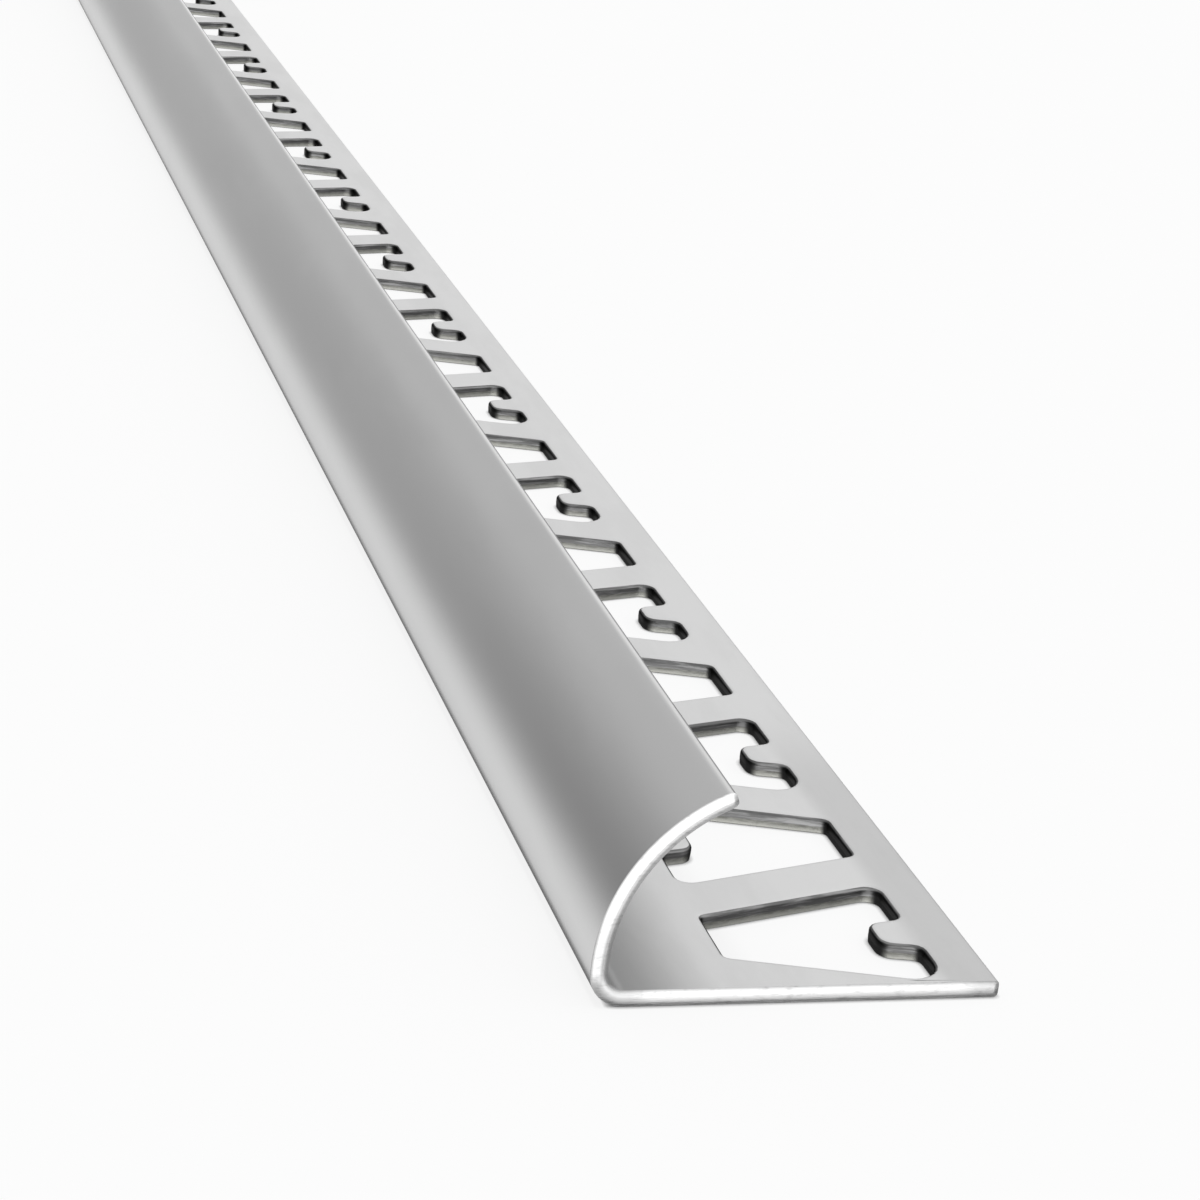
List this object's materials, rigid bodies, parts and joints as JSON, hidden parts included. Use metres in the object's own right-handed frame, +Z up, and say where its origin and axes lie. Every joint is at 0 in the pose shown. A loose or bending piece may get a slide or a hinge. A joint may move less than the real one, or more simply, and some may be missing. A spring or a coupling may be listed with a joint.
{
  "type": "round-edge tile trim",
  "caption": "Length of rolled sheet-metal tile trim: flat anchoring leg punched with tongued wedge holes, and a convex arc that covers the tile's edge.",
  "frame": {"origin": "middle of the length and of the width, at the underside of the anchoring leg", "axes": "+Z up, leg flat on Z = 0; +Y along the length; +X across, from the toe under the arc to the leg's free edge"},
  "size_m": [0.024, 1, 0.0127],
  "materials": {
    "satin_steel": "satin mill finish, punched holes, sawn ends"
  },
  "bodies": {
    "root": {"edge_trim": "satin_steel"}
  },
  "joints": []
}
